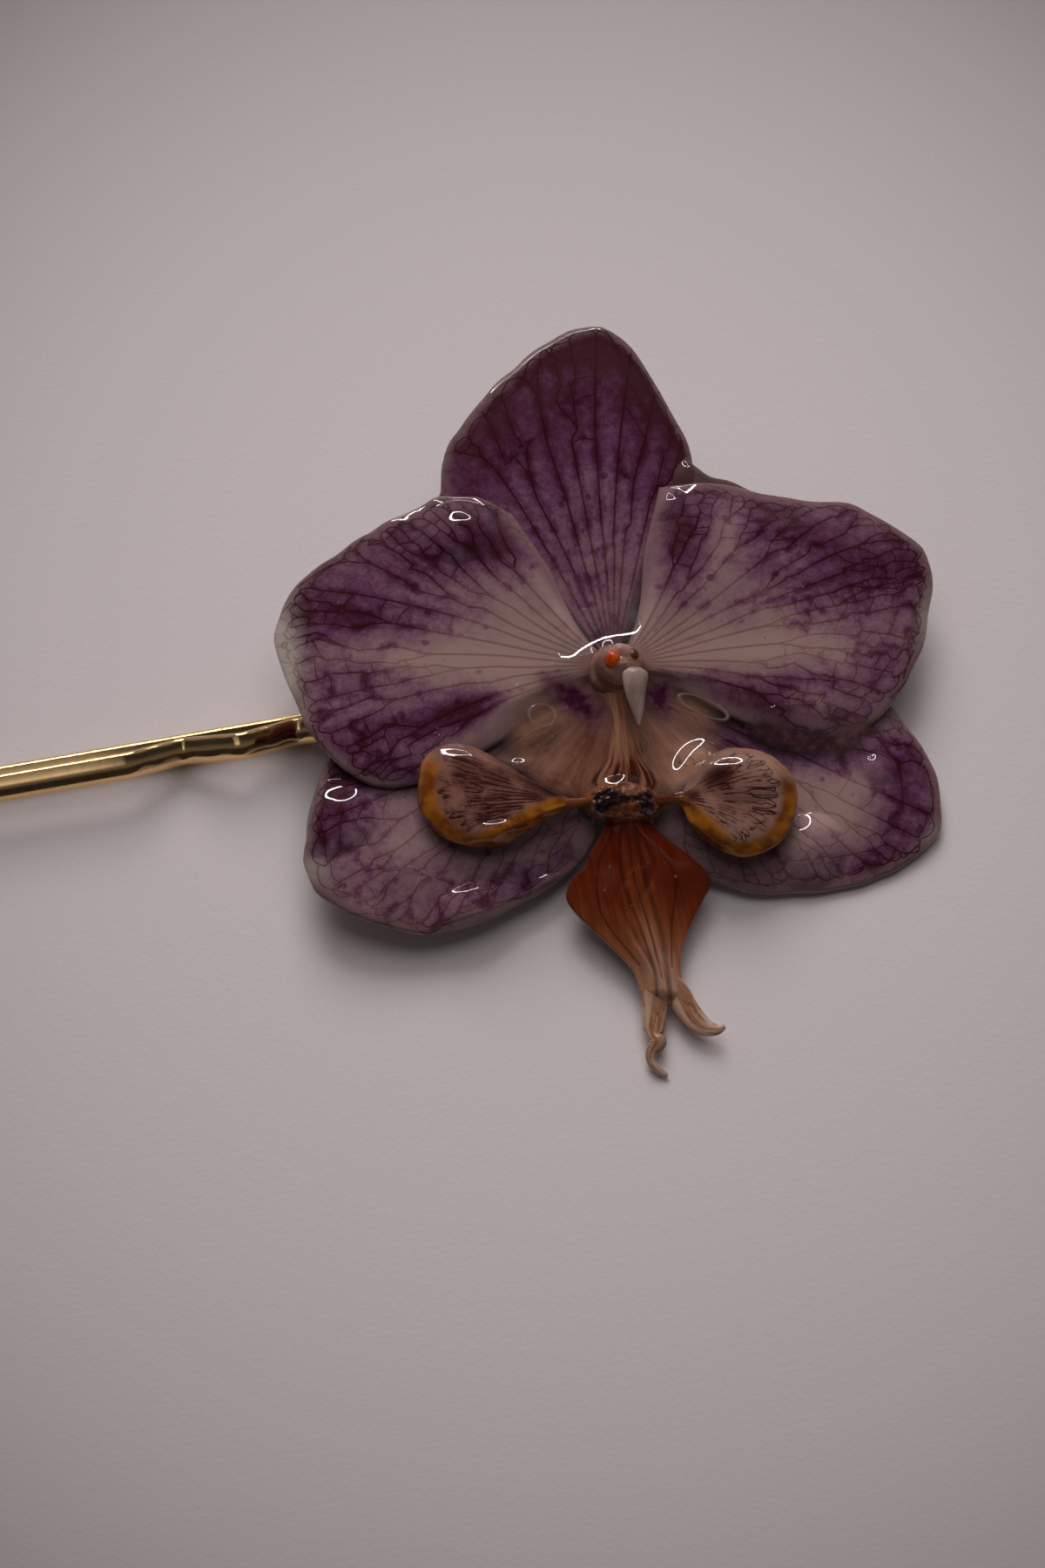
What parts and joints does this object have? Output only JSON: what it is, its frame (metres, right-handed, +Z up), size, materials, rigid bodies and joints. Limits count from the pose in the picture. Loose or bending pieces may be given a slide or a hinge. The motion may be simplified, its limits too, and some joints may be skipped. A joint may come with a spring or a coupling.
{
  "type": "hair grip with a resin-coated orchid",
  "caption": "Wire hair grip with a waved leg, carrying an open moth-orchid flower set in clear resin over its closed end.",
  "frame": {"origin": "on the surface that it lies on, under the middle of its overall box", "axes": "+X along the grip's wire towards its closed end and the flower; +Y towards the flower's top sepal; +Z up from the surface"},
  "size_m": [0.0821, 0.058, 0.0087],
  "materials": {
    "gold_wire": "polished gold plate on steel wire, lightly nicked along its edge",
    "clear_resin": "clear cast resin, faintly brown, glossy",
    "sepal": "real sepal under clear resin: violet with dark maroon veins, glossy",
    "petal": "real petal under clear resin: cream base, purple towards the rim, dark veins, glossy",
    "lip_claw": "brown and orange streaks under clear resin, glossy",
    "lip_callus": "black-brown and lumpy under clear resin, glossy",
    "lip_side": "brown with fine dark veins and a yellow-orange margin, under clear resin, glossy",
    "lip_middle": "brown-orange with dark grooves, straw-coloured at the tendrils, under clear resin, glossy",
    "column": "pinkish brown under clear resin, glossy",
    "anther_cap": "whitish and translucent under clear resin, glossy",
    "pollinium": "bright orange under clear resin, glossy",
    "pollinium_dark": "dark brown under clear resin, glossy"
  },
  "bodies": {
    "root": {"hair_pin": "gold_wire", "resin_dab": "clear_resin", "dorsal_sepal": "sepal", "left_sepal": "sepal", "right_sepal": "sepal", "left_petal": "petal", "right_petal": "petal", "resin_web": "clear_resin", "lip_claw": "lip_claw", "lip_callus": "lip_callus", "lip_left_lobe": "lip_side", "lip_right_lobe": "lip_side", "lip_midlobe": "lip_middle", "column": "column", "anther_cap": "anther_cap", "left_pollinium": "pollinium", "right_pollinium": "pollinium_dark"}
  },
  "joints": []
}
